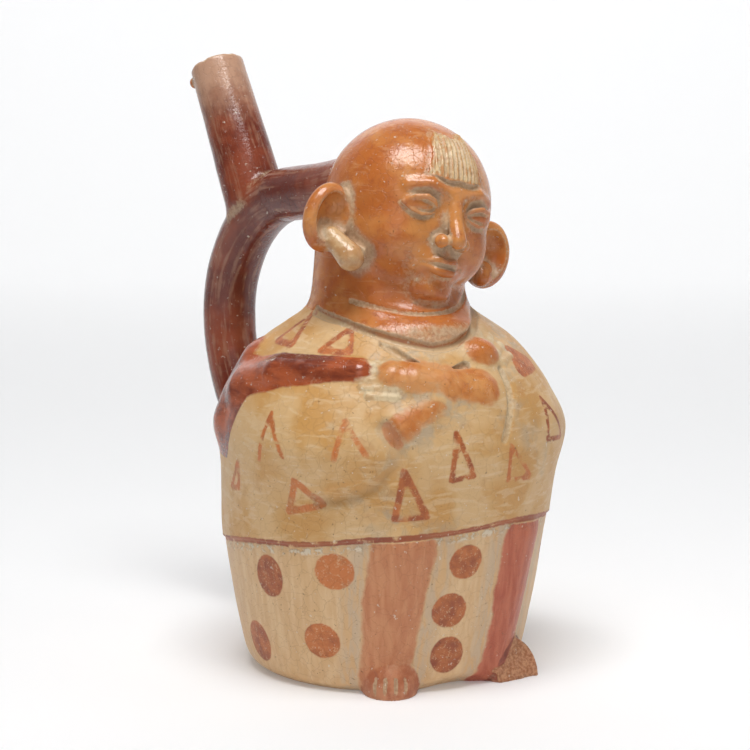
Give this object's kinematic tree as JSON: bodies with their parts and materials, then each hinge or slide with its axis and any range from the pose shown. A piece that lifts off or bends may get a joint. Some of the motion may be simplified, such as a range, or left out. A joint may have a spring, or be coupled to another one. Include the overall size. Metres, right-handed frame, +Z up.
{
  "type": "stirrup spout vessel",
  "caption": "Hollow fired-clay figure vessel: seated figure in a tunic with folded arms, stirrup-shaped handle-tube behind it and one slanting spout.",
  "frame": {"origin": "on the flat underside, on the axis of the round body", "axes": "+Z up, the figure faces -Y, the stirrup and spout are on the +Y side, the figure's left is +X"},
  "size_m": [0.1283, 0.1883, 0.2223],
  "materials": {
    "painted_clay": "fired clay with cream, orange-tan and red-brown slip, burnished to a soft gloss and worn"
  },
  "bodies": {
    "root": {"vessel": "painted_clay"}
  },
  "joints": []
}
